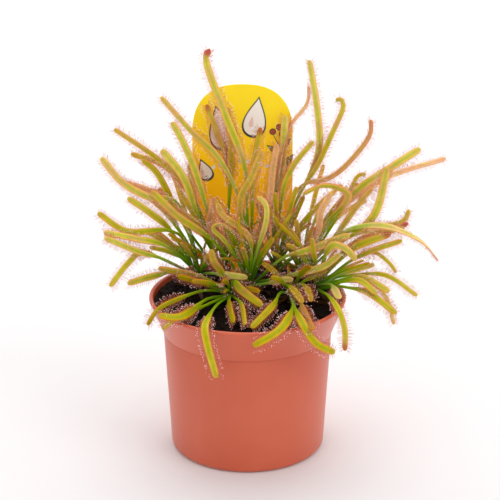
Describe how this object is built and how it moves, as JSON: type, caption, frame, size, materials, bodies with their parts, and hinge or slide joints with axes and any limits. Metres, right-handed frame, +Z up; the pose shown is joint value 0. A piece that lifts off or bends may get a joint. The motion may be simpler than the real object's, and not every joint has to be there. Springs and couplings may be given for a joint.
{
  "type": "potted sundew",
  "caption": "Narrow-leaved sundews with long strap blades fringed by tentacles, growing in a round flared nursery pot of peat with an arch-topped plant label.",
  "frame": {"origin": "middle of the pot's flat underside, on the surface that it stands on", "axes": "+Z up, +X to the viewer's right in the picture, +Y to the back, where the label stands"},
  "size_m": [0.2139, 0.1515, 0.2454],
  "materials": {
    "pot_plastic": "moulded polypropylene, terracotta colour, satin",
    "peat": "moist dark peat, crumbly",
    "label_card": "printed plastic sheet, yellow to orange",
    "leaf": "yellow-green leaf with red glandular tentacles"
  },
  "bodies": {
    "root": {"pot": "pot_plastic", "soil": "peat", "label": "label_card", "sundew_centre": "leaf", "sundew_front_left": "leaf", "sundew_left": "leaf", "sundew_back": "leaf", "sundew_back_right": "leaf", "sundew_right_back": "leaf", "sundew_right": "leaf", "sundew_front_right": "leaf"}
  },
  "joints": []
}
